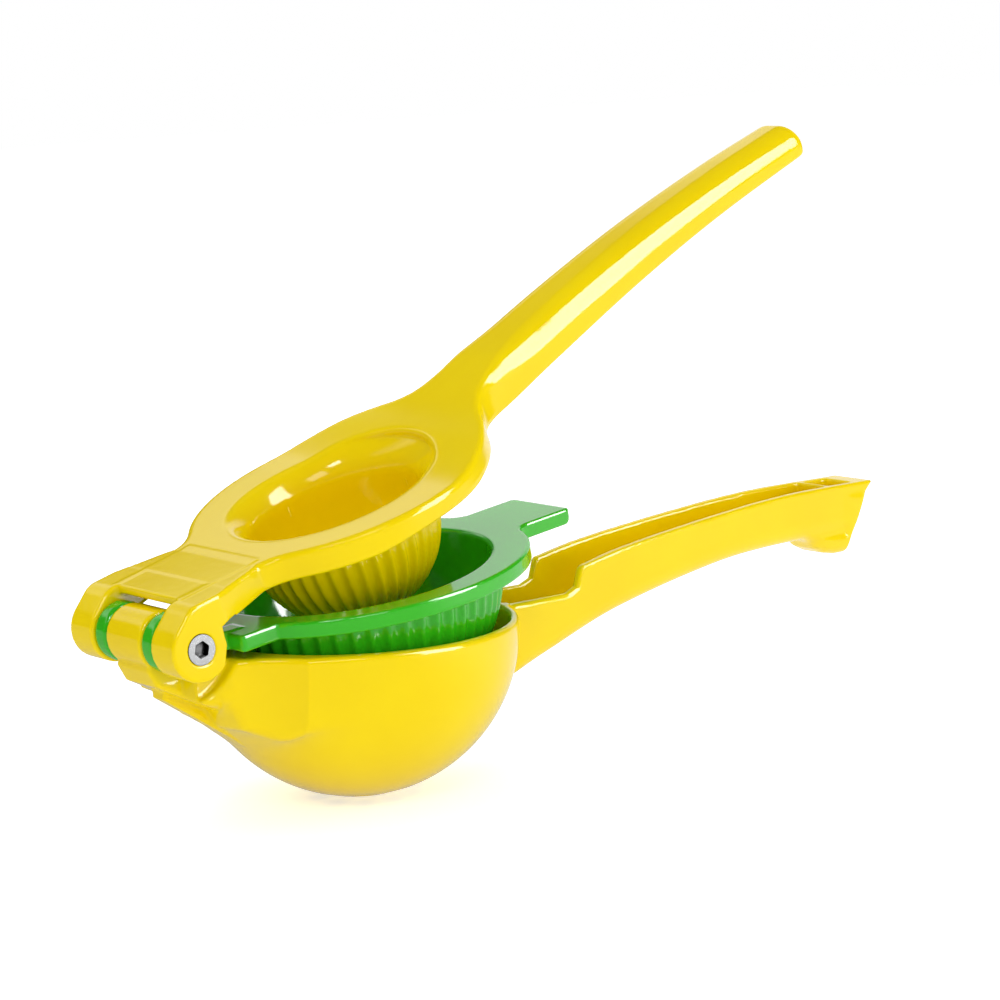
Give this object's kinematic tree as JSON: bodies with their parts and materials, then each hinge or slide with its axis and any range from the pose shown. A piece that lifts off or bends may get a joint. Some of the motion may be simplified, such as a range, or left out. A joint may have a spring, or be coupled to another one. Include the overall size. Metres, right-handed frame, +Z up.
{
  "type": "hinged lemon squeezer",
  "caption": "Hand lever squeezer: a round bowl with a channel handle, a nested fluted cup with a thumb tab, and a fluted dome press with a long handle, hinged on one pin.",
  "frame": {"origin": "centre of the small flat under the bowl, which is the lowest face", "axes": "+Z up along the bowl's axis, +X from the bowl towards the ends of the handles, +Y along the hinge pin, which lies on the -X side"},
  "size_m": [0.2153, 0.078, 0.142],
  "materials": {
    "lemon_enamel": "gloss",
    "lime_enamel": "gloss",
    "steel": "polished"
  },
  "bodies": {
    "base": {"lower_handle": "lemon_enamel"},
    "lime": {"lime_cup": "lime_enamel"},
    "press": {"upper_handle": "lemon_enamel", "hinge_barrel": "steel", "hinge_screw": "steel"}
  },
  "joints": [
    {"name": "lime_cup_hinge", "type": "hinge", "parent": "base", "child": "lime", "pos_m": [-0.0544, 0, 0.04412], "axis": [0, -1, 0], "range_deg": [-8.4, 65]},
    {"name": "press_hinge", "type": "hinge", "parent": "lime", "child": "press", "pos_m": [-0.0544, 0, 0.04412], "axis": [0, -1, 0], "range_deg": [-10.9, 65]}
  ]
}
